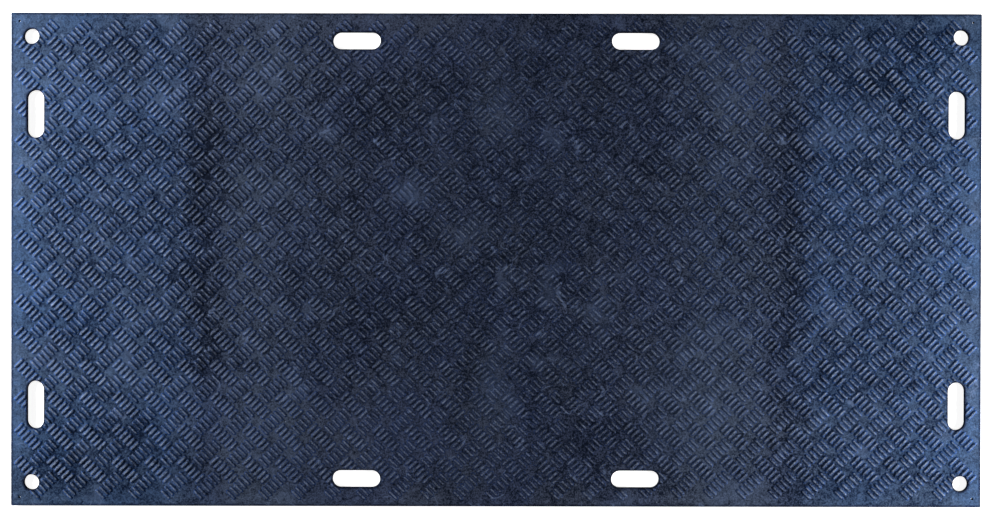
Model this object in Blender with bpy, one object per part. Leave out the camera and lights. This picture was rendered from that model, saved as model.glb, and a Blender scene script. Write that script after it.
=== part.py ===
"""Ground protection mat: one sheet of black polyethylene with hand slots, pin holes and screw holes.

Metres, +Z up. The origin is on the floor under the middle of the sheet, with the length along X.
The top face lies at the crests of the tread, so the solid is as thick as the mat over its tread.
"""

import math

import bpy

# Sheet
LENGTH = 2.400
WIDTH = 1.220
THICKNESS = 0.013
CORNER_RADIUS = 0.003
RIM_CHAMFER = 0.001

# Hand slots, two along each edge
SLOT_LENGTH = 0.118
SLOT_WIDTH = 0.042
LONG_EDGE_SLOT_INSET = 0.068
LONG_EDGE_SLOT_SPACING = 0.690
SHORT_EDGE_SLOT_INSET = 0.060
SHORT_EDGE_SLOT_SPACING = 0.720

# Holes at each corner: one for a ground pin or a joining bolt, one for a screw
PIN_HOLE_DIAMETER = 0.038
PIN_HOLE_INSET_X = 0.050
PIN_HOLE_INSET_Y = 0.058
SCREW_HOLE_DIAMETER = 0.005
SCREW_HOLE_INSET = 0.021

# Straight pieces that stand for a half turn of each outline
SLOT_END_SEGMENTS = 12
PIN_HOLE_SEGMENTS = 12
SCREW_HOLE_SEGMENTS = 6
CORNER_SEGMENTS = 6

# Black polyethylene
MAT_COLOUR = (0.016, 0.018, 0.022, 1.0)
MAT_ROUGHNESS = 0.5


def clear_scene():
    for obj in list(bpy.data.objects):
        bpy.data.objects.remove(obj, do_unlink=True)


def mat_material():
    material = bpy.data.materials.new("black_polyethylene")
    material.use_nodes = True
    shader = material.node_tree.nodes["Principled BSDF"]
    shader.inputs["Base Color"].default_value = MAT_COLOUR
    shader.inputs["Roughness"].default_value = MAT_ROUGHNESS
    shader.inputs["Metallic"].default_value = 0.0
    return material


def rounded_outline(centre, size, radius, half_turn_segments):
    """Points, anticlockwise, of a rounded rectangle. A radius of half its width makes a slot or a circle."""
    quarter_steps = max(1, half_turn_segments // 2)
    reach_x = size[0] / 2 - radius
    reach_y = size[1] / 2 - radius
    points = []
    for quarter, (side_x, side_y) in enumerate([(1, 1), (-1, 1), (-1, -1), (1, -1)]):
        for step in range(quarter_steps + 1):
            angle = math.pi / 2 * (quarter + step / quarter_steps)
            x = centre[0] + side_x * reach_x + radius * math.cos(angle)
            y = centre[1] + side_y * reach_y + radius * math.sin(angle)
            if not points or math.dist(points[-1], (x, y)) > 1e-6:
                points.append((x, y))
    if math.dist(points[0], points[-1]) <= 1e-6:
        points.pop()
    return points


def sheet_outline():
    """The sheet's edge, drawn in by the chamfer that the curve's bevel adds back."""
    inset = 2 * RIM_CHAMFER
    return rounded_outline(
        (0, 0), (LENGTH - inset, WIDTH - inset), CORNER_RADIUS - RIM_CHAMFER, CORNER_SEGMENTS
    )


def hole_outline(centre, size, segments):
    """A slot or hole, clockwise and drawn out by the chamfer, so that the bevel closes it to its size."""
    grown = (size[0] + 2 * RIM_CHAMFER, size[1] + 2 * RIM_CHAMFER)
    return rounded_outline(centre, grown, min(grown) / 2, segments)[::-1]


def both_sides(x, y):
    return [(x * side_x, y * side_y) for side_x in (-1, 1) for side_y in (-1, 1)]


def slot_outlines():
    long_edge_y = WIDTH / 2 - LONG_EDGE_SLOT_INSET
    short_edge_x = LENGTH / 2 - SHORT_EDGE_SLOT_INSET
    along_length = (SLOT_LENGTH, SLOT_WIDTH)
    along_width = (SLOT_WIDTH, SLOT_LENGTH)
    outlines = []
    for centre in both_sides(LONG_EDGE_SLOT_SPACING / 2, long_edge_y):
        outlines.append(hole_outline(centre, along_length, SLOT_END_SEGMENTS))
    for centre in both_sides(short_edge_x, SHORT_EDGE_SLOT_SPACING / 2):
        outlines.append(hole_outline(centre, along_width, SLOT_END_SEGMENTS))
    return outlines


def corner_hole_outlines():
    pin_hole = (PIN_HOLE_DIAMETER, PIN_HOLE_DIAMETER)
    screw_hole = (SCREW_HOLE_DIAMETER, SCREW_HOLE_DIAMETER)
    outlines = []
    for centre in both_sides(LENGTH / 2 - PIN_HOLE_INSET_X, WIDTH / 2 - PIN_HOLE_INSET_Y):
        outlines.append(hole_outline(centre, pin_hole, PIN_HOLE_SEGMENTS))
    for centre in both_sides(LENGTH / 2 - SCREW_HOLE_INSET, WIDTH / 2 - SCREW_HOLE_INSET):
        outlines.append(hole_outline(centre, screw_hole, SCREW_HOLE_SEGMENTS))
    return outlines


def add_outline(curve, points):
    spline = curve.splines.new("POLY")
    spline.points.add(len(points) - 1)
    for point, (x, y) in zip(spline.points, points):
        point.co = (x, y, 0, 1)
    spline.use_cyclic_u = True


def make_mat(collection):
    """A flat outline with its holes, extruded to the thickness, with every rim chamfered."""
    curve = bpy.data.curves.new("ground_mat", "CURVE")
    curve.dimensions = "2D"
    curve.fill_mode = "BOTH"
    curve.extrude = THICKNESS / 2 - RIM_CHAMFER
    curve.bevel_depth = RIM_CHAMFER
    curve.bevel_resolution = 0
    for points in [sheet_outline()] + slot_outlines() + corner_hole_outlines():
        add_outline(curve, points)
    mat = bpy.data.objects.new("ground_mat", curve)
    mat.location.z = THICKNESS / 2
    curve.materials.append(mat_material())
    collection.objects.link(mat)
    return mat


def build():
    clear_scene()
    collection = bpy.data.collections.new("ground_protection_mat")
    bpy.context.scene.collection.children.link(collection)
    make_mat(collection)


build()
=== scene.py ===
"""Ground protection mat, dressed: the moulded sheet with its real tread bars, on a white floor.

Metres, +Z up, in the frame of the CAD. Small lengths are written in millimetres, times MM.
"""

import math

import bpy
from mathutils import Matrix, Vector, noise


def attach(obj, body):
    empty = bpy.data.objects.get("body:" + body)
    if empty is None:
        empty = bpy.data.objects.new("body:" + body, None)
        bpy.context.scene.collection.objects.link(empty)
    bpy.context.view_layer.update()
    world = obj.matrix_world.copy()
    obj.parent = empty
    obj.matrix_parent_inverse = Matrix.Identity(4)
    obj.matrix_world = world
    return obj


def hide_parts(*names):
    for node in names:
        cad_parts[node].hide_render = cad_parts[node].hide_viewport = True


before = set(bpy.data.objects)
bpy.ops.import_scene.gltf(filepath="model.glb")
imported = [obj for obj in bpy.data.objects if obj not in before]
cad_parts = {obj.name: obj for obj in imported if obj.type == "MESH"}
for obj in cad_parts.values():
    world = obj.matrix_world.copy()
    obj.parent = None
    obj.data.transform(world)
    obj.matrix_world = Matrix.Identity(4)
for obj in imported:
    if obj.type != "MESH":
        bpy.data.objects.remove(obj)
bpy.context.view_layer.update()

MM = 0.001

# Sheet, as in the CAD
LENGTH = 2.400
WIDTH = 1.220
THICKNESS = 0.013
BODY_THICKNESS = 0.0105
CORNER_RADIUS = 0.003
RIM_EASE = 0.0009
RIM_STEPS = 2
SHEET_SHARP_ANGLE = math.radians(20)

# Openings, as in the CAD
SLOT_LENGTH = 0.118
SLOT_WIDTH = 0.042
LONG_EDGE_SLOT = (0.345, 0.542)
SHORT_EDGE_SLOT = (1.140, 0.360)
PIN_HOLE_DIAMETER = 0.038
PIN_HOLE = (1.150, 0.552)
SCREW_HOLE_DIAMETER = 0.005
SCREW_HOLE = (1.179, 0.589)
HALF_TURN_SEGMENTS = 24
SAME_POINT = 1e-6

# Tread: groups of six bars, one way at the lattice points and the other way half a cell on
BARS_IN_GROUP = 6
BAR_PITCH = 12.7 * MM
BAR_LENGTH = 34.0 * MM
BAR_END_STEPS = 4
BAR_SHARP_ANGLE = math.radians(60)
BAR_SUNK = 0.3 * MM
# Rings of a bar from its foot to its crest: half width, how far the ends draw back, height over the floor
BAR_RINGS = [
    (5.3 * MM, 0.0, BODY_THICKNESS - BAR_SUNK),
    (3.2 * MM, 0.6 * MM, 11.9 * MM),
    (0.9 * MM, 1.4 * MM, THICKNESS),
]
# Wear has taken up to this much off the crests. Its share there swings about the mean, by patches of about
# 120 mm and from bar to bar.
MOST_WEAR = 0.4 * MM
WEAR_PATCH = 0.12
WEAR_MEAN = 0.3
WEAR_SWING = 0.8
# How far from an opening a bar that it crosses is cut
CUT_BACK = 1.0 * MM
TREAD_ROWS = 14

# The tread was moulded in two fields that don't meet in step. Each starts at its back left lattice point,
# and from the given distance towards the join its cells are about 1% shorter.
LEFT_FIELD = {
    "start": Vector((-1.1555, 0.5985)),
    "along": Vector((0.08085, -0.00004)),
    "down": Vector((-0.00019, -0.07987)),
    "columns": (0, 22),
    "draws_in_from": -0.40,
    "draw": 0.0135,
}
RIGHT_FIELD = {
    "start": Vector((-1.1947, 0.6140)),
    "along": Vector((0.08105, -0.00049)),
    "down": Vector((-0.00007, -0.07990)),
    "columns": (14, 29),
    "draws_in_from": 0.70,
    "draw": 0.0087,
}
# Where the fields meet, from the back edge to the front edge
FIELD_JOIN = [
    (0.44, 0.62),
    (0.40, 0.40),
    (0.22, 0.20),
    (0.23, -0.02),
    (0.15, -0.26),
    (0.16, -0.40),
    (0.36, -0.62),
]
# Nearer to the join than this, a bar of one field gives way where it would touch one of the other
JOIN_REACH = 60.0 * MM
CLEARANCE = 9.0 * MM


def linear(hex_colour):
    """sRGB hex to the linear colour that a shader takes."""
    channels = [int(hex_colour[i : i + 2], 16) / 255 for i in (1, 3, 5)]
    return tuple(c / 12.92 if c <= 0.04045 else ((c + 0.055) / 1.055) ** 2.4 for c in channels) + (1.0,)


def add_node(tree, kind, inputs=(), output=0, **settings):
    """Add one node with its settings and links, and return one of its outputs.

    Inputs come in the order of the sockets, or by name or number. Each is a value, or the output of another
    node that it is linked to.
    """
    node = tree.nodes.new("ShaderNode" + kind)
    for name, value in settings.items():
        setattr(node, name, value)
    named = inputs if isinstance(inputs, dict) else dict(enumerate(inputs))
    for socket, value in named.items():
        if isinstance(value, bpy.types.NodeSocket):
            tree.links.new(value, node.inputs[socket])
        else:
            node.inputs[socket].default_value = value
    return node.outputs[output]


# Outlines


def rounded_outline(centre, size, radius, segments):
    """Points, anticlockwise, of a rounded rectangle, slot or circle."""
    points = []
    steps = segments // 2
    for quarter, (side_x, side_y) in enumerate([(1, 1), (-1, 1), (-1, -1), (1, -1)]):
        for step in range(steps + 1):
            angle = math.pi / 2 * (quarter + step / steps)
            point = Vector(
                (
                    centre[0] + side_x * (size[0] / 2 - radius) + radius * math.cos(angle),
                    centre[1] + side_y * (size[1] / 2 - radius) + radius * math.sin(angle),
                )
            )
            if not points or (points[-1] - point).length > SAME_POINT:
                points.append(point)
    if (points[0] - points[-1]).length <= SAME_POINT:
        points.pop()
    return points


def four_ways(place):
    return [(place[0] * x, place[1] * y) for x in (-1, 1) for y in (-1, 1)]


def openings():
    """Centre and size of every opening."""
    listed = [(centre, (SLOT_LENGTH, SLOT_WIDTH)) for centre in four_ways(LONG_EDGE_SLOT)]
    listed += [(centre, (SLOT_WIDTH, SLOT_LENGTH)) for centre in four_ways(SHORT_EDGE_SLOT)]
    listed += [(centre, (PIN_HOLE_DIAMETER, PIN_HOLE_DIAMETER)) for centre in four_ways(PIN_HOLE)]
    listed += [(centre, (SCREW_HOLE_DIAMETER, SCREW_HOLE_DIAMETER)) for centre in four_ways(SCREW_HOLE)]
    return listed


def flat_curve(name, outlines):
    """A filled curve of an outline and the holes in it, or of several outlines."""
    curve = bpy.data.curves.new(name, "CURVE")
    curve.dimensions = "2D"
    curve.fill_mode = "BOTH"
    for points in outlines:
        spline = curve.splines.new("POLY")
        spline.points.add(len(points) - 1)
        for target, point in zip(spline.points, points):
            target.co = (point[0], point[1], 0, 1)
        spline.use_cyclic_u = True
    return curve


def mesh_of(data, name):
    """The final mesh of a curve or mesh, made once and kept."""
    holder = bpy.data.objects.new(name, data)
    bpy.context.scene.collection.objects.link(holder)
    graph = bpy.context.evaluated_depsgraph_get()
    mesh = bpy.data.meshes.new_from_object(holder.evaluated_get(graph))
    bpy.data.objects.remove(holder, do_unlink=True)
    return mesh


def piece(name, mesh, material):
    """A mesh as an object of the scene, in its material."""
    mesh.name = name
    mesh.materials.clear()
    mesh.materials.append(material)
    obj = bpy.data.objects.new(name, mesh)
    bpy.context.scene.collection.objects.link(obj)
    return obj


def shade_smooth(mesh, sharp_angle):
    for polygon in mesh.polygons:
        polygon.use_smooth = True
    mesh.set_sharp_from_angle(angle=sharp_angle)


# Sheet


def make_sheet(material):
    """The sheet under the tread: the outline with its openings, with every rim eased."""
    inset = 2 * RIM_EASE
    size = (LENGTH - inset, WIDTH - inset)
    outlines = [rounded_outline((0, 0), size, CORNER_RADIUS - RIM_EASE, HALF_TURN_SEGMENTS)]
    for centre, size in openings():
        grown = (size[0] + inset, size[1] + inset)
        outlines.append(rounded_outline(centre, grown, min(grown) / 2, HALF_TURN_SEGMENTS)[::-1])
    curve = flat_curve("sheet", outlines)
    curve.extrude = BODY_THICKNESS / 2 - RIM_EASE
    curve.bevel_depth = RIM_EASE
    curve.bevel_resolution = RIM_STEPS
    mesh = mesh_of(curve, "sheet")
    for vertex in mesh.vertices:
        vertex.co.z += BODY_THICKNESS / 2
    shade_smooth(mesh, SHEET_SHARP_ANGLE)
    return piece("sheet", mesh, material)


# Tread bars


def join_x(y):
    """Where the two fields of tread meet at this distance from the middle line."""
    for (x_back, y_back), (x_front, y_front) in zip(FIELD_JOIN, FIELD_JOIN[1:]):
        if y_front <= y <= y_back:
            return x_front + (x_back - x_front) * (y - y_front) / (y_back - y_front)
    return FIELD_JOIN[-1][0]


def field_bars(field, keeps):
    """(centre, direction) of every bar of a field whose centre the test keeps."""
    first, last = field["columns"]
    groups = []
    for column in range(first, last + 1):
        for row in range(1, TREAD_ROWS + 1):
            groups.append((column, row, 1))
    for column in range(first, last):
        for row in range(0, TREAD_ROWS + 1):
            groups.append((column + 0.5, row + 0.5, -1))
    bars = []
    for column, row, lean in groups:
        middle = field["start"] + field["along"] * column + field["down"] * row
        past = middle.x - field["draws_in_from"]
        if past * field["draws_in_from"] < 0:
            middle.x -= past * field["draw"]
        direction = Vector((1, lean)).normalized()
        across = Vector((1, -lean)).normalized()
        for number in range(BARS_IN_GROUP):
            centre = middle + across * BAR_PITCH * (number - (BARS_IN_GROUP - 1) / 2)
            if keeps(centre):
                bars.append((centre, direction))
    return bars


def bar_points(bar):
    """Five points along a bar, which tests of distance use."""
    centre, direction = bar
    reach = BAR_LENGTH / 2 - BAR_RINGS[0][0]
    return [centre + direction * reach * part for part in (-1, -0.5, 0, 0.5, 1)]


def clear_of(bar, others):
    """Whether a bar keeps its clearance from all the others."""
    points = bar_points(bar)
    for other in others:
        if (other[0] - bar[0]).length > BAR_LENGTH + CLEARANCE:
            continue
        for point in points:
            if min((point - place).length for place in bar_points(other)) < CLEARANCE:
                return False
    return True


def depth_in_opening(point, opening):
    """How far a point lies inside an opening; negative outside."""
    centre, size = opening
    radius = min(size) / 2
    reach = (size[0] / 2 - radius, size[1] / 2 - radius)
    gap_x = max(abs(point[0] - centre[0]) - reach[0], 0)
    gap_y = max(abs(point[1] - centre[1]) - reach[1], 0)
    return radius - math.hypot(gap_x, gap_y)


def sort_by_openings(bars):
    """The bars that clear every opening, and those that one cuts. A bar that lies inside an opening goes."""
    half_width = BAR_RINGS[0][0]
    whole, cut = [], []
    for bar in bars:
        depths = [[depth_in_opening(point, opening) for point in bar_points(bar)] for opening in openings()]
        if max(max(row) for row in depths) < -half_width - 2 * CUT_BACK:
            whole.append(bar)
        elif not any(min(row) > half_width for row in depths):
            cut.append(bar)
    return whole, cut


def worn_off(centre):
    """How much lower than new a bar stands."""
    place = Vector((centre.x, centre.y, 0.5))
    swing = noise.noise(place / WEAR_PATCH) + noise.noise(place / BAR_PITCH)
    return MOST_WEAR * min(max(WEAR_MEAN + WEAR_SWING * swing, 0.0), 1.0)


def bar_ring(centre, direction, half_width, draw_back, height):
    """One level of a bar: a long outline with round ends."""
    across = Vector((-direction.y, direction.x))
    reach = BAR_LENGTH / 2 - BAR_RINGS[0][0] - draw_back
    points = []
    for end in (1, -1):
        for step in range(BAR_END_STEPS + 1):
            angle = math.pi * (step / BAR_END_STEPS - 0.5)
            point = centre + direction * end * (reach + half_width * math.cos(angle))
            point = point + across * end * half_width * math.sin(angle)
            points.append((point.x, point.y, height))
    return points


def bars_mesh(name, bars):
    """Every bar as a closed form that stands in the sheet by a little."""
    vertices, faces = [], []
    count = 2 * (BAR_END_STEPS + 1)
    for centre, direction in bars:
        first = len(vertices)
        worn = worn_off(centre)
        for half_width, draw_back, height in BAR_RINGS:
            height -= worn * max(height - BODY_THICKNESS, 0) / (THICKNESS - BODY_THICKNESS)
            vertices += bar_ring(centre, direction, half_width, draw_back, height)
        for level in range(len(BAR_RINGS) - 1):
            low, high = first + level * count, first + (level + 1) * count
            for i in range(count):
                j = (i + 1) % count
                faces.append((low + i, low + j, high + j, high + i))
        top = first + (len(BAR_RINGS) - 1) * count
        faces.append(tuple(range(top, top + count)))
        faces.append(tuple(range(first + count - 1, first - 1, -1)))
    mesh = bpy.data.meshes.new(name)
    mesh.from_pydata(vertices, [], faces)
    return mesh


def cutter_mesh():
    """Prisms of the openings, a little wider, so that a cut bar ends at the eased rim."""
    outlines = []
    for centre, size in openings():
        grown = (size[0] + 2 * CUT_BACK, size[1] + 2 * CUT_BACK)
        outlines.append(rounded_outline(centre, grown, min(grown) / 2, HALF_TURN_SEGMENTS))
    curve = flat_curve("opening_cutter", outlines)
    curve.extrude = THICKNESS
    return mesh_of(curve, "opening_cutter")


def cut_bars_mesh(name, bars):
    """Bars that the openings cut through, after the cut."""
    cutter = bpy.data.objects.new("opening_cutter", cutter_mesh())
    cutter.location.z = THICKNESS
    holder = bpy.data.objects.new(name, bars_mesh(name, bars))
    for obj in (cutter, holder):
        bpy.context.scene.collection.objects.link(obj)
    boolean = holder.modifiers.new("openings", "BOOLEAN")
    boolean.operation = "DIFFERENCE"
    boolean.solver = "EXACT"
    boolean.object = cutter
    graph = bpy.context.evaluated_depsgraph_get()
    mesh = bpy.data.meshes.new_from_object(holder.evaluated_get(graph))
    for obj in (cutter, holder):
        bpy.data.objects.remove(obj, do_unlink=True)
    return mesh


def make_tread(name, bars, material):
    """One field of tread as one piece: its whole bars and its cut bars."""
    whole, cut = sort_by_openings(bars)
    vertices, faces = [], []
    for mesh in (bars_mesh(name, whole), cut_bars_mesh(name, cut)):
        first = len(vertices)
        vertices += [vertex.co[:] for vertex in mesh.vertices]
        faces += [tuple(first + i for i in polygon.vertices) for polygon in mesh.polygons]
    joined = bpy.data.meshes.new(name)
    joined.from_pydata(vertices, [], faces)
    shade_smooth(joined, BAR_SHARP_ANGLE)
    return piece(name, joined, material)


# Black polyethylene

# Settings that many nodes share. A Mix node's colours are its inputs 6 and 7 and its output 2.
EASED = {"interpolation_type": "SMOOTHSTEP"}
COLOUR_MIX = {"data_type": "RGBA", "output": 2}

# Unevenness of the surface: size in mm, detail and roughness of each noise, and its weight in the tone.
# The grain that the mould leaves is finer than 1 mm. A pixel of the render is 2.5 mm, so the grain is drawn
# at 6 and 3 mm, as coarse as it needs to show.
CLOUDS = {
    "broad": (260, 2.0, 0.55, 1.3),
    "cloud": (95, 3.0, 0.60, 1.0),
    "mottle": (30, 3.0, 0.60, 1.3),
    "patch": (15, 2.0, 0.60, 1.8),
}
GRAINS = {
    "grain": (6, 2.0, 0.65, 2.3),
    "grit": (3, 1.0, 0.55, 2.4),
}
# How strong the clouds and the grains are in the middle and at the ends
CLOUD_STRENGTH = (0.9, 1.0)
GRAIN_STRENGTH = (1.55, 1.0)

# Patches of two near colours: size in mm, a shift away from where the clouds lie, and how they blend
TINT_SIZE = 150
TINT_SHIFT = (3, 5, 0)
TINT_SPAN = (0.35, 0.65)
MIDDLE_COLOURS = ("#2b3246", "#2e3443")
# At the ends the colours are paler and bluer: painted sheen
END_COLOURS = ("#2c405d", "#304058")

# Zones by distance from the middle. The ends are paler and bluer, a painted sheen of the light there, which
# rises in steps: from, to, and by how much.
END_SHEEN_STEPS = [(0.30, 0.62, 0.10), (0.677, 0.847, 0.65), (0.85, 1.12, 0.25)]
# A greyer zone comes before it, and where it starts a dark band, which fades towards the long edges
GREY_ZONE_RISE, GREY_ZONE_FALL = (0.34, 0.58), (0.64, 0.72)
GREY_ZONE_COLOUR = "#2d3542"
BAND_RISE, BAND_FALL = (0.637, 0.717), (0.717, 0.787)
BAND_FADE = (0.22, 0.42, 1.0, 0.3)
# The borders of the zones waver with the clouds, by 20 mm either way
ZONE_WAVER = (0.3, 0.7, -20.0 * MM, 20.0 * MM)
# Paler still by the ends, as more of that painted sheen, and along the whole rim
END_RISE = (1.06, 1.20, 0.0, 0.6)
RIM_RISE = (-0.045, -0.020, 0.0, 0.25)

# Worn and stained places that the photograph shows: x, y, reach along x, reach along y
PALE_SCUFFS = [
    (0.50, -0.36, 0.20, 0.24),
    (-0.856, 0.409, 0.07, 0.07),
    (-0.580, 0.190, 0.12, 0.06),
    (-0.547, 0.470, 0.08, 0.08),
    (-0.188, 0.173, 0.06, 0.05),
    (-0.052, 0.074, 0.06, 0.06),
    (0.000, 0.367, 0.08, 0.11),
    (0.000, -0.320, 0.07, 0.15),
    (0.542, -0.186, 0.11, 0.06),
    (0.512, -0.396, 0.08, 0.06),
    (0.851, -0.396, 0.12, 0.05),
    (0.876, 0.322, 0.07, 0.07),
    (0.567, 0.396, 0.06, 0.05),
    (-0.905, -0.285, 0.07, 0.06),
    (0.257, -0.111, 0.06, 0.05),
    (0.590, -0.570, 0.09, 0.05),
]
DARK_STAINS = [
    (-0.164, 0.074, 0.08, 0.07),
    (0.182, -0.075, 0.07, 0.06),
    (0.405, 0.520, 0.09, 0.06),
    (0.912, 0.420, 0.09, 0.06),
    (-0.906, -0.420, 0.10, 0.07),
    (0.960, -0.087, 0.09, 0.06),
    (0.060, 0.160, 0.08, 0.06),
    (0.120, -0.270, 0.07, 0.08),
    (-0.500, -0.070, 0.10, 0.05),
    (-0.720, 0.300, 0.06, 0.12),
]
# Wider areas, more and less dusty than the rest
PALE_AREAS = [
    (-0.36, -0.48, 0.58, 0.28),
    (-0.74, -0.37, 0.22, 0.13),
    (-0.24, 0.54, 0.42, 0.10),
    (0.66, 0.49, 0.18, 0.20),
    (-1.05, 0.42, 0.20, 0.13),
]
DARK_AREAS = [
    (1.00, 0.52, 0.28, 0.16),
    (-1.08, -0.53, 0.22, 0.14),
    (-1.14, -0.22, 0.12, 0.12),
    (0.05, -0.06, 0.14, 0.10),
]
# Each fades out over these shares of its reach
SPOT_EDGE = (0.2, 1.1, 1.0, 0.0)
# Swirls that make their borders ragged: size in mm, and the reach of the shift
SWIRL_SIZE = 70
SWIRL_REACH = (0.14, 0.14, 0.0)

# What each adds to the tone, where 1 is the colour as written
BAND_TONE = -0.42
GREY_ZONE_TONE = 0.4
PALE_SCUFF_TONE = 0.2
DARK_STAIN_TONE = -0.25
PALE_AREA_TONE = 0.55
DARK_AREA_TONE = -0.32
# The crests are paler: wear and a painted highlight
CREST_WEAR_AND_HIGHLIGHT_TONE = 0.3
DARKEST_TONE = 0.2

# Heights over the floor: the walls of the openings and the rim, the feet of the bars, and their crests
WALL_SPAN = (9.3 * MM, 10.3 * MM, 1.0, 0.0)
FOOT_RISE, FOOT_FALL = (10.5 * MM, 10.7 * MM), (11.7 * MM, 12.6 * MM)
CREST_SPAN = (12.1 * MM, 12.9 * MM)

# Noises break up what lies at those heights: where one starts and ends, and the shares that this gives
FOOT_PATCHES = (0.35, 0.60, 0.75, 1.0)
CREST_PATCHES = (0.32, 0.68, 0.5, 1.0)
CREST_BEADS = (0.36, 0.64, 0.4, 1.6)
# Deep blue black laid at the feet of the bars as painted shade, in the middle and at the ends, which the
# darkest tones take too
FOOT_SHADE_AND_DARK_COLOURS = ("#11203f", "#153567")
DEEP_BLUE_DARKS = (0.4, 1.0, 0.7, 0.0)
# How grey a crest is, as wear and a painted highlight, in the middle and at the ends
CREST_GREY = (0.27, 0.5)

# Darker along the rim, in patches, and painted shade in a ring around the openings
NEAR_RIM = (-7.0 * MM, -4.0 * MM)
RIM_PATCHES = (0.35, 0.60, 0.35, 1.0)
NEAR_OPENING = (2.0 * MM, 5.0 * MM, 1.0, 0.0)

# Dust lies where two noises are high. Scratches follow the borders of cells and break off, and a speck lies
# at the middle of each cell. Cells are in mm, and widths are shares of a cell.
DUST_CLOUDS = (0.55, 0.75)
DUST_AREAS = (0.40, 0.62, 0.25, 1.0)
SCRATCH_CELL = 85
SCRATCH_WIDTH = (0.006, 0.018, 1.0, 0.0)
SCRATCH_BREAKS = (0.52, 0.62)
SPECK_CELL = 45
SPECK_WIDTH = (0.020, 0.045, 1.0, 0.0)

# Colour of each mark, and how strongly it is laid on
# Crests: paler as wear and a painted highlight
CREST_WEAR_AND_HIGHLIGHT = ("#8b95a8", 1.0)
SCUFF = ("#566680", 0.12)
# Painted shade on the walls and around the openings, and a darker rim
EDGE_DARKENING = ("#7c86a0", 1.0)
DUST = ("#566686", 0.40)
SCRATCH = ("#7385aa", 0.40)
SPECK = ("#8f9db5", 0.55)

# Sheen: roughness from dark to pale tones, and how strong and how deep the relief of grain and waves is
SHEEN_TINT = "#b0ccff"
SATIN = (0.3, 1.7, 0.42, 0.58)
GRAIN_RELIEF = {"Strength": 1.0, "Distance": 1.0 * MM}
WAVE_RELIEF = {"Strength": 0.5, "Distance": 3.0 * MM}


def where_on_mat(tree):
    """A point's place on the mat, and the distances that the marks below are drawn by."""
    place = add_node(tree, "TexCoord", output="Object")
    x, y, height = [add_node(tree, "SeparateXYZ", (place,), axis) for axis in "XYZ"]
    from_middle = add_node(tree, "Math", (x,), operation="ABSOLUTE")
    from_centre_line = add_node(tree, "Math", (y,), operation="ABSOLUTE")
    past_end = add_node(tree, "Math", (from_middle, LENGTH / 2), operation="SUBTRACT")
    past_side = add_node(tree, "Math", (from_centre_line, WIDTH / 2), operation="SUBTRACT")
    from_rim = add_node(tree, "Math", (past_end, past_side), operation="MAXIMUM")
    return place, (from_middle, from_centre_line), from_rim, height


def distance_to_openings(tree, distances):
    """How far it is to the nearest opening. Each is a straight line with a round border, four times."""
    straight = (SLOT_LENGTH - SLOT_WIDTH) / 2
    nearest = LENGTH
    for centre, half_line, radius in (
        (LONG_EDGE_SLOT, (straight, 0.0), SLOT_WIDTH / 2),
        (SHORT_EDGE_SLOT, (0.0, straight), SLOT_WIDTH / 2),
        (PIN_HOLE, (0.0, 0.0), PIN_HOLE_DIAMETER / 2),
    ):
        squares = 0.0
        for distance, middle, reach in zip(distances, centre, half_line):
            offset = add_node(tree, "Math", (distance, middle), operation="SUBTRACT")
            offset = add_node(tree, "Math", (offset,), operation="ABSOLUTE")
            offset = add_node(tree, "Math", (offset, reach), operation="SUBTRACT")
            offset = add_node(tree, "Math", (offset, 0.0), operation="MAXIMUM")
            squares = add_node(tree, "Math", (offset, offset, squares), operation="MULTIPLY_ADD")
        to_line = add_node(tree, "Math", (squares,), operation="SQRT")
        to_border = add_node(tree, "Math", (to_line, radius), operation="SUBTRACT")
        nearest = add_node(tree, "Math", (to_border, nearest), operation="MINIMUM")
    return nearest


def uneven_layers(tree, place, sizes):
    """Noises of the given sizes by name, and their weighted sum, which swings about 0."""
    layers = {}
    total = -sum(weight for *_, weight in sizes.values()) / 2
    for name, (size_mm, detail, roughness, weight) in sizes.items():
        inputs = {"Vector": place, "Scale": 1000 / size_mm, "Detail": detail, "Roughness": roughness}
        layers[name] = add_node(tree, "TexNoise", inputs)
        total = add_node(tree, "Math", (layers[name], weight, total), operation="MULTIPLY_ADD")
    return layers, total


def swirled(tree, place):
    """The place shifted in soft swirls, so that what is drawn by it has ragged borders."""
    inputs = {"Vector": place, "Scale": 1000 / SWIRL_SIZE, "Detail": 3.0}
    swirl = add_node(tree, "TexNoise", inputs, "Color")
    swirl = add_node(tree, "VectorMath", (swirl, (0.5, 0.5, 0.5)), operation="SUBTRACT")
    return add_node(tree, "VectorMath", (swirl, SWIRL_REACH, place), operation="MULTIPLY_ADD")


def soft_spots(tree, place, spots):
    """How far into any of the spots a point lies, 0 to 1."""
    total = 0.0
    for x, y, reach_x, reach_y in spots:
        offset = add_node(tree, "VectorMath", (place, (x, y, 0)), operation="SUBTRACT")
        share = (1 / reach_x, 1 / reach_y, 0)
        offset = add_node(tree, "VectorMath", (offset, share), operation="MULTIPLY")
        distance = add_node(tree, "VectorMath", (offset,), "Value", operation="LENGTH")
        spot = add_node(tree, "MapRange", (distance, *SPOT_EDGE), **EASED)
        total = add_node(tree, "Math", (total, spot), operation="ADD")
    return add_node(tree, "Math", (total, 1.0), operation="MINIMUM")


def between(tree, value, rise, fall):
    """1 where a value lies between two soft limits: it rises over one span and falls over the other."""
    risen = add_node(tree, "MapRange", (value, *rise), **EASED)
    fallen = add_node(tree, "MapRange", (value, *fall, 1.0, 0.0), **EASED)
    return add_node(tree, "Math", (risen, fallen), operation="MULTIPLY")


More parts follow.
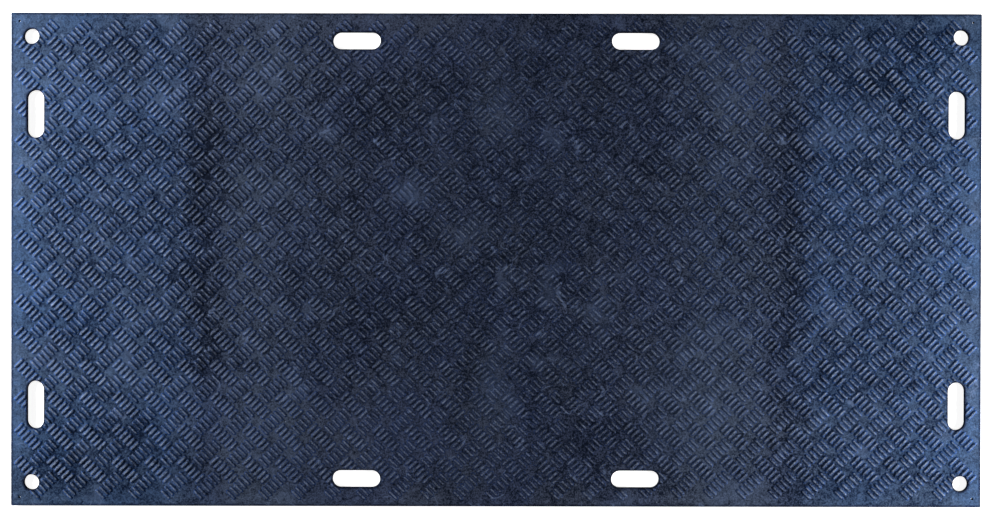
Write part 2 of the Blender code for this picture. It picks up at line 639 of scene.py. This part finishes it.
def end_zones(tree, distances, from_rim, cloud):
    """The painted sheen of the ends, the greyer zone and the dark band before it, and the extra lift by the
    ends and along the rim.
    """
    from_middle, from_centre_line = distances
    waver = add_node(tree, "MapRange", (cloud, *ZONE_WAVER), **EASED)
    ragged = add_node(tree, "Math", (from_middle, waver), operation="ADD")
    end_sheen = 0.0
    for start, end, rise in END_SHEEN_STEPS:
        step = add_node(tree, "MapRange", (ragged, start, end, 0.0, rise), **EASED)
        end_sheen = add_node(tree, "Math", (end_sheen, step), operation="ADD")
    grey_zone = between(tree, ragged, GREY_ZONE_RISE, GREY_ZONE_FALL)
    band = between(tree, ragged, BAND_RISE, BAND_FALL)
    fade = add_node(tree, "MapRange", (from_centre_line, *BAND_FADE), **EASED)
    band = add_node(tree, "Math", (band, fade), operation="MULTIPLY")
    by_ends = add_node(tree, "MapRange", (from_middle, *END_RISE), **EASED)
    by_rim = add_node(tree, "MapRange", (from_rim, *RIM_RISE), **EASED)
    end_and_rim_lift = add_node(tree, "Math", (by_ends, by_rim), operation="ADD")
    return end_sheen, grey_zone, band, end_and_rim_lift


def sheet_tone(tree, end_sheen, clouds, grains, additions):
    """How pale each point is, where 1 is the colour as written: unevenness, zones, scuffs and stains."""
    tone = 1.0
    for swing, strength in ((clouds, CLOUD_STRENGTH), (grains, GRAIN_STRENGTH)):
        strength = add_node(tree, "MapRange", (end_sheen, 0.0, 1.0, *strength), **EASED)
        tone = add_node(tree, "Math", (swing, strength, tone), operation="MULTIPLY_ADD")
    for share, weight in additions:
        tone = add_node(tree, "Math", (share, weight, tone), operation="MULTIPLY_ADD")
    return add_node(tree, "Math", (tone, DARKEST_TONE), operation="MAXIMUM")


def sheet_colour(tree, place, end_sheen, grey_zone):
    """Dark blue grey in the middle and paler, bluer at the ends as painted sheen, each of two near colours
    in patches.
    """
    shifted = add_node(tree, "VectorMath", (place, TINT_SHIFT), operation="ADD")
    inputs = {"Vector": shifted, "Scale": 1000 / TINT_SIZE, "Detail": 2.0, "Roughness": 0.5}
    tint = add_node(tree, "TexNoise", inputs)
    tint = add_node(tree, "MapRange", (tint, *TINT_SPAN), **EASED)
    middle, end = [
        add_node(tree, "Mix", {0: tint, 6: linear(first), 7: linear(second)}, **COLOUR_MIX)
        for first, second in (MIDDLE_COLOURS, END_COLOURS)
    ]
    colour = add_node(tree, "Mix", {0: end_sheen, 6: middle, 7: end}, **COLOUR_MIX)
    half = add_node(tree, "Math", (grey_zone, 0.5), operation="MULTIPLY")
    return add_node(tree, "Mix", {0: half, 6: colour, 7: linear(GREY_ZONE_COLOUR)}, **COLOUR_MIX)


def shaded_feet_and_darks(tree, height, tone, patch):
    """Where the deep blue black is laid: at the feet of the bars, in patches, as painted shade between them,
    and in the darkest tones."""
    foot = between(tree, height, FOOT_RISE, FOOT_FALL)
    uneven = add_node(tree, "MapRange", (patch, *FOOT_PATCHES), **EASED)
    foot = add_node(tree, "Math", (foot, uneven), operation="MULTIPLY")
    dark = add_node(tree, "MapRange", (tone, *DEEP_BLUE_DARKS), **EASED)
    return add_node(tree, "Math", (foot, dark), operation="MAXIMUM")


def worn_and_highlit_crests(tree, height, patch, grain):
    """Crests paler as wear and a painted highlight, more in some patches than in others, and in beads along
    each crest.
    """
    crest_wear_and_highlight = add_node(tree, "MapRange", (height, *CREST_SPAN), **EASED)
    for layer, span in ((patch, CREST_PATCHES), (grain, CREST_BEADS)):
        share = add_node(tree, "MapRange", (layer, *span), **EASED)
        crest_wear_and_highlight = add_node(tree, "Math", (crest_wear_and_highlight, share), operation="MULTIPLY")
    return crest_wear_and_highlight


def darkened_edges(tree, height, from_rim, from_opening, mottle):
    """The cut walls of the openings and the rim, in painted shade, and all darkened places: those walls, a
    darker band along the rim and painted shade around the openings.
    """
    wall = add_node(tree, "MapRange", (height, *WALL_SPAN), **EASED)
    near_rim = add_node(tree, "MapRange", (from_rim, *NEAR_RIM), **EASED)
    uneven = add_node(tree, "MapRange", (mottle, *RIM_PATCHES), **EASED)
    near_rim = add_node(tree, "Math", (near_rim, uneven), operation="MULTIPLY")
    near_opening = add_node(tree, "MapRange", (from_opening, *NEAR_OPENING), **EASED)
    darkened = add_node(tree, "Math", (near_rim, near_opening), operation="MAXIMUM")
    return wall, add_node(tree, "Math", (wall, darkened), operation="MAXIMUM")


def dust_and_scratches(tree, place, swirled_place, layers):
    """Dusty scuffs, curved scratches 20 to 60 mm long, and specks of grit, one in each square of 45 mm.

    Real ones are under 1 mm wide. A pixel is 2.5 mm, so they are drawn 1 to 3 mm wide to show.
    """
    dust = add_node(tree, "MapRange", (layers["cloud"], *DUST_CLOUDS), **EASED)
    share = add_node(tree, "MapRange", (layers["broad"], *DUST_AREAS), **EASED)
    dust = add_node(tree, "Math", (dust, share), operation="MULTIPLY")
    inputs = {"Vector": swirled_place, "Scale": 1000 / SCRATCH_CELL}
    edge = add_node(tree, "TexVoronoi", inputs, "Distance", feature="DISTANCE_TO_EDGE")
    scratch = add_node(tree, "MapRange", (edge, *SCRATCH_WIDTH), **EASED)
    share = add_node(tree, "MapRange", (layers["mottle"], *SCRATCH_BREAKS), **EASED)
    scratch = add_node(tree, "Math", (scratch, share), operation="MULTIPLY")
    centre = add_node(tree, "TexVoronoi", {"Vector": place, "Scale": 1000 / SPECK_CELL}, "Distance")
    speck = add_node(tree, "MapRange", (centre, *SPECK_WIDTH), **EASED)
    return dust, scratch, speck


def black_hdpe_moulded():
    """High density polyethylene, black, compression moulded.

    The mould leaves a fine even grain, so it has a satin sheen and no mirror. Its colour is uneven: the two
    ends paler and bluer as painted sheen, stopping at a dark band, a greyer middle, deep blue black at the
    feet of the bars as painted shade, crests paler as wear and a painted highlight, painted shade on the
    walls of the openings and around them, a darker rim, dust, scratches and specks.
    """
    material = bpy.data.materials.new("black_hdpe_moulded")
    material.use_nodes = True
    tree = material.node_tree
    shader = tree.nodes["Principled BSDF"]
    shader.inputs["IOR"].default_value = 1.54
    shader.inputs["Metallic"].default_value = 0.0
    shader.inputs["Specular IOR Level"].default_value = 0.22
    shader.inputs["Specular Tint"].default_value = linear(SHEEN_TINT)

    place, distances, from_rim, height = where_on_mat(tree)
    swirled_place = swirled(tree, place)
    clouds, cloud_swing = uneven_layers(tree, place, CLOUDS)
    grains, grain_swing = uneven_layers(tree, place, GRAINS)
    # The ends paler and bluer: painted sheen
    end_sheen, grey_zone, band, end_and_rim_lift = end_zones(tree, distances, from_rim, clouds["cloud"])
    pale_scuffs = soft_spots(tree, swirled_place, PALE_SCUFFS)
    additions = (
        (band, BAND_TONE),
        (grey_zone, GREY_ZONE_TONE),
        (end_and_rim_lift, 1.0),
        (pale_scuffs, PALE_SCUFF_TONE),
        (soft_spots(tree, swirled_place, DARK_STAINS), DARK_STAIN_TONE),
        (soft_spots(tree, swirled_place, PALE_AREAS), PALE_AREA_TONE),
        (soft_spots(tree, swirled_place, DARK_AREAS), DARK_AREA_TONE),
    )
    tone = sheet_tone(tree, end_sheen, cloud_swing, grain_swing, additions)

    # The colour of the sheet, with deep blue painted shade at the feet of the bars and in the darkest tones,
    # in that tone
    colour = sheet_colour(tree, place, end_sheen, grey_zone)
    inputs = {0: end_sheen, 6: linear(FOOT_SHADE_AND_DARK_COLOURS[0]), 7: linear(FOOT_SHADE_AND_DARK_COLOURS[1])}
    shade_and_dark_colour = add_node(tree, "Mix", inputs, **COLOUR_MIX)
    foot_shade_and_darks = shaded_feet_and_darks(tree, height, tone, clouds["patch"])
    colour = add_node(tree, "Mix", {0: foot_shade_and_darks, 6: colour, 7: shade_and_dark_colour}, **COLOUR_MIX)
    # Crests paler as wear and a painted highlight
    crest_wear_and_highlight = worn_and_highlit_crests(tree, height, clouds["patch"], grains["grain"])
    paler = add_node(tree, "Math", (crest_wear_and_highlight, CREST_WEAR_AND_HIGHLIGHT_TONE, 1.0), operation="MULTIPLY_ADD")
    tone = add_node(tree, "Math", (tone, paler), operation="MULTIPLY")
    colour = add_node(tree, "VectorMath", {0: colour, "Scale": tone}, operation="SCALE")

    # Crests paler as wear and a painted highlight, painted shade on the walls and around the openings, a
    # darker rim, then dust, scratches and specks, each laid over those before it
    greyer = add_node(tree, "MapRange", (end_sheen, 0.0, 1.0, *CREST_GREY), **EASED)
    greyed = add_node(tree, "Math", (crest_wear_and_highlight, greyer), operation="MULTIPLY")
    from_opening = distance_to_openings(tree, distances)
    wall, darkened = darkened_edges(tree, height, from_rim, from_opening, clouds["mottle"])
    dust, scratch, speck = dust_and_scratches(tree, place, swirled_place, clouds)
    for share, blend, (hex_colour, strength) in (
        (greyed, "MIX", CREST_WEAR_AND_HIGHLIGHT),
        (pale_scuffs, "MIX", SCUFF),
        (darkened, "MULTIPLY", EDGE_DARKENING),
        (wall, "MULTIPLY", EDGE_DARKENING),
        (dust, "MIX", DUST),
        (scratch, "MIX", SCRATCH),
        (speck, "MIX", SPECK),
    ):
        share = add_node(tree, "Math", (share, strength), operation="MULTIPLY")
        inputs = {0: share, 6: colour, 7: linear(hex_colour)}
        colour = add_node(tree, "Mix", inputs, blend_type=blend, **COLOUR_MIX)
    tree.links.new(colour, shader.inputs["Base Color"])

    # Where the tone is paler the surface is duller too, so its sheen spreads wider
    satin = add_node(tree, "MapRange", (tone, *SATIN), **EASED)
    tree.links.new(satin, shader.inputs["Roughness"])

    # The grain that the mould left, and the slight waves of a large thin sheet
    grained = add_node(tree, "Bump", {"Height": grains["grain"], **GRAIN_RELIEF})
    waved = add_node(tree, "Bump", {"Height": clouds["cloud"], "Normal": grained, **WAVE_RELIEF})
    tree.links.new(waved, shader.inputs["Normal"])
    return material


# Studio

FLOOR_SIZE = 16
FLOOR_COLOUR = "#eeeeee"
FLOOR_GLOW = 0.92
# Two low strip lights, one from each side: place, target, watts. A grid keeps most of each on its own half.
STRIP_SIZE = (2.4, 0.5)
STRIP_SPREAD = math.radians(36)
STRIP_LIGHTS = {
    "left_soft_light": ((-3.2, 0.80, 0.95), (-1.15, 0.35, 0.0), 17.0),
    "right_soft_light": ((3.2, -0.80, 0.95), (1.30, -0.35, 0.0), 18.0),
}
WORLD_COLOUR = "#f4f6fa"
FILL = 0.03

# Camera, straight above the mat as in the photograph: its turns are in degrees
CAMERA_LENS = 43.66
CAMERA_SENSOR = 36
CAMERA_PLACE = (0.0119, 0.0007, 3.0105)
CAMERA_TURN = (-0.198, 0.040, 0.110)


def white_board():
    """Matt painted board. The camera sees it glow a little short of white, so that the lamps make it white
    and a shadow still shows."""
    material = bpy.data.materials.new("white_board")
    material.use_nodes = True
    tree = material.node_tree
    shader = tree.nodes["Principled BSDF"]
    shader.inputs["Base Color"].default_value = linear(FLOOR_COLOUR)
    shader.inputs["Roughness"].default_value = 0.9
    shader.inputs["Emission Color"].default_value = (1, 1, 1, 1)
    seen = add_node(tree, "LightPath", output="Is Camera Ray")
    glow = add_node(tree, "Math", (seen, FLOOR_GLOW), operation="MULTIPLY")
    tree.links.new(glow, shader.inputs["Emission Strength"])
    return material


def make_floor():
    bpy.ops.mesh.primitive_plane_add(size=FLOOR_SIZE, location=(0, 0, 0))
    floor = bpy.context.object
    floor.name = "floor"
    floor.data.materials.append(white_board())


def make_lights():
    """The strip lights, and the faint fill of the world, which the camera sees white past the floor."""
    for name, (place, target, watts) in STRIP_LIGHTS.items():
        data = bpy.data.lights.new(name, "AREA")
        data.shape = "RECTANGLE"
        data.size, data.size_y = STRIP_SIZE
        data.energy = watts
        data.spread = STRIP_SPREAD
        light = bpy.data.objects.new(name, data)
        light.location = place
        light.rotation_euler = (Vector(target) - light.location).to_track_quat("-Z", "Y").to_euler()
        bpy.context.scene.collection.objects.link(light)
    world = bpy.data.worlds.new("studio")
    bpy.context.scene.world = world
    world.use_nodes = True
    tree = world.node_tree
    background = tree.nodes["Background"]
    background.inputs["Color"].default_value = linear(WORLD_COLOUR)
    seen = add_node(tree, "LightPath", output="Is Camera Ray")
    strength = add_node(tree, "MapRange", (seen, 0.0, 1.0, FILL, 1.0))
    tree.links.new(strength, background.inputs["Strength"])


def make_camera():
    data = bpy.data.cameras.new("camera")
    data.sensor_width = CAMERA_SENSOR
    data.lens = CAMERA_LENS
    camera = bpy.data.objects.new("camera", data)
    camera.location = CAMERA_PLACE
    camera.rotation_euler = [math.radians(angle) for angle in CAMERA_TURN]
    bpy.context.scene.collection.objects.link(camera)
    bpy.context.scene.camera = camera


def dress(obj):
    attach(obj, "root")
    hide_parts("ground_mat")


bpy.context.scene.view_settings.view_transform = "Standard"
make_camera()
make_floor()
make_lights()

hdpe = black_hdpe_moulded()
left_bars = field_bars(LEFT_FIELD, lambda centre: centre.x < join_x(centre.y))
near_join = [bar for bar in left_bars if bar[0].x > join_x(bar[0].y) - JOIN_REACH]
right_bars = field_bars(RIGHT_FIELD, lambda centre: centre.x > join_x(centre.y))
right_bars = [
    bar
    for bar in right_bars
    if bar[0].x > join_x(bar[0].y) + JOIN_REACH or clear_of(bar, near_join)
]
dress(make_sheet(hdpe))
dress(make_tread("tread_bars_left", left_bars, hdpe))
dress(make_tread("tread_bars_right", right_bars, hdpe))
